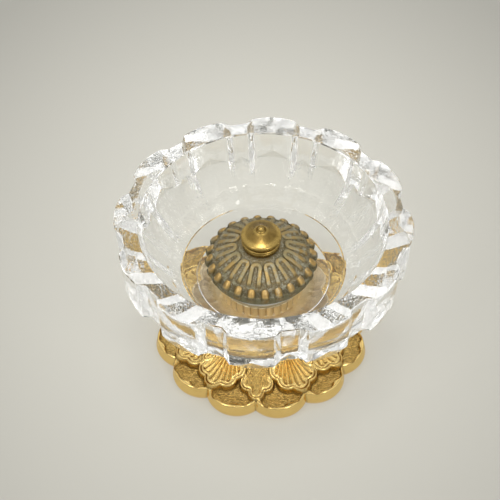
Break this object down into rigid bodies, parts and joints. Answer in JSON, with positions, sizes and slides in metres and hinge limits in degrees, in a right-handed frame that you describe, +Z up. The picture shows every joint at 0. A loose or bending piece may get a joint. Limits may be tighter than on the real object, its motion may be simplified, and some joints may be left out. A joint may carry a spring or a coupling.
{
  "type": "footed glass desk dish",
  "caption": "Heavy cut-glass open well on a petalled gilt brass foot, clamped through its floor by a rosette and a turned knob that unscrews.",
  "frame": {"origin": "on the axis of the stud, at the plane the foot stands on", "axes": "+Z up along the stud, -Y towards the front of the picture view, +X to its right"},
  "size_m": [0.1288, 0.1288, 0.0785],
  "materials": {
    "gilt_brass": "polished gilt",
    "gilt_satin": "satin gilt",
    "patinated_brass": "patinated",
    "knob_brass": "aged polish",
    "crystal": "clear cut crystal",
    "gasket": "matte, pale",
    "steel": "zinc plated"
  },
  "bodies": {
    "base": {"foot_casting": "gilt_brass", "bowl_seat": "gilt_satin", "fluted_collar": "gilt_brass", "lower_gasket": "gasket", "glass_bowl": "crystal", "upper_gasket": "gasket", "rosette": "patinated_brass", "stud": "steel", "foot_washer": "steel", "hex_nut": "steel"},
    "ring": {"knob_ring": "knob_brass"},
    "knob": {"knob": "knob_brass"}
  },
  "joints": [
    {"name": "knob_lift", "type": "slide", "parent": "base", "child": "ring", "axis": [0, 0, 1], "range_m": [0, 0.006]},
    {"name": "knob_turn", "type": "hinge", "parent": "ring", "child": "knob", "pos_m": [0, 0, 0.0654], "axis": [0, 0, 1], "range_deg": [0, 2160]}
  ],
  "couplings": [
    {"joint": "knob_lift", "follows": "knob_turn", "m_per_rad": 0.00015915}
  ]
}
